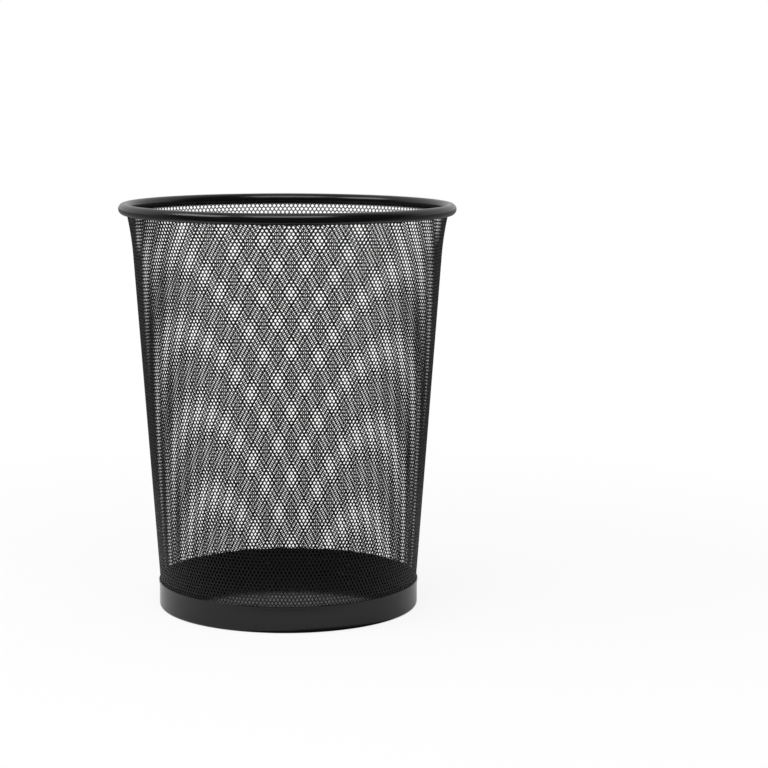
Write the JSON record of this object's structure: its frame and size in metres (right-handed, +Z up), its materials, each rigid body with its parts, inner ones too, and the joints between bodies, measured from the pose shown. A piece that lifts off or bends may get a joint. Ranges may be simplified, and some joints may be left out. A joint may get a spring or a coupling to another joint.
{
  "type": "wastebasket",
  "caption": "Round tapered office wastebasket with an expanded steel mesh wall, a rolled tubular rim and a solid pressed base pan, all in black powder coat.",
  "frame": {"origin": "on the floor, under the middle of the basket", "axes": "+Z up along the basket's axis, -Y towards the viewer of the picture, +X to that viewer's right, with the wall's seam near +X"},
  "size_m": [0.294, 0.294, 0.356],
  "materials": {
    "rim_coat": "semi-gloss black powder coat on a rolled steel hoop",
    "mesh_coat": "satin black powder coat on expanded steel mesh",
    "strip_coat": "satin black powder coat on flat steel strip",
    "pan_coat": "semi-gloss black powder coat on pressed sheet steel",
    "weld_coat": "black powder coat over welds"
  },
  "bodies": {
    "root": {"rim_hoop": "rim_coat", "rim_joint_weld": "weld_coat", "mesh_wall": "mesh_coat", "seam_strip": "strip_coat", "seam_spot_welds": "weld_coat", "base_pan": "pan_coat", "base_clamp_ring": "strip_coat", "base_spot_welds": "weld_coat"}
  },
  "joints": []
}
